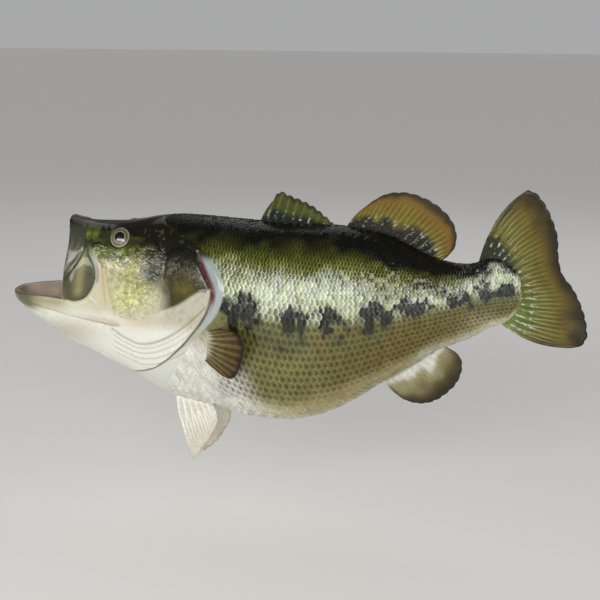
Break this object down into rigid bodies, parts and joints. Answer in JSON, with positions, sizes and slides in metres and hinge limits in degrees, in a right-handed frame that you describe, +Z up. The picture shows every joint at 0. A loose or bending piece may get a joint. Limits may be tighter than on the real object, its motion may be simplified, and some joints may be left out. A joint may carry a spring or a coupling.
{
  "type": "mounted largemouth bass",
  "caption": "Life-size mounted largemouth bass with open mouth and spread fins, turned out from the wall, on a small wooden backing board with a hanger plate.",
  "frame": {"origin": "middle of the backing board's wall face", "axes": "+Y into the wall, +Z up, +X from the head toward the tail; the left flank faces -Y"},
  "size_m": [0.7326, 0.1787, 0.3723],
  "materials": {
    "skin": "varnished scaled skin, near black on the back, olive flank with a dark blotched stripe, cream belly",
    "gill_plate": "varnished, dark olive with gold patches",
    "jaw_plate": "varnished, grey-green with a pale streak",
    "mouth": "painted mouth lining, pale mauve-grey",
    "fin": "varnished rays, golden brown with dark rims",
    "fin_pale": "varnished rays, off white",
    "eye_glass": "polished glass eye with painted iris and pupil",
    "board_wood": "sanded softwood",
    "hanger_steel": "brushed"
  },
  "bodies": {
    "root": {"head": "skin", "upper_jaw": "skin", "lower_jaw": "skin", "throat": "skin", "trunk": "skin", "tail": "skin", "gill_cover_left": "gill_plate", "gill_cover_right": "gill_plate", "maxilla_left": "jaw_plate", "maxilla_right": "jaw_plate", "tongue": "mouth", "eye_left": "eye_glass", "eye_right": "eye_glass", "dorsal_fin_spiny": "fin", "dorsal_fin_soft": "fin", "anal_fin": "fin", "caudal_fin": "fin", "pectoral_fin_left": "fin", "pectoral_fin_right": "fin", "pelvic_fin_left": "fin_pale", "pelvic_fin_right": "fin_pale", "backing_board": "board_wood", "hanger_plate": "hanger_steel"}
  },
  "joints": []
}
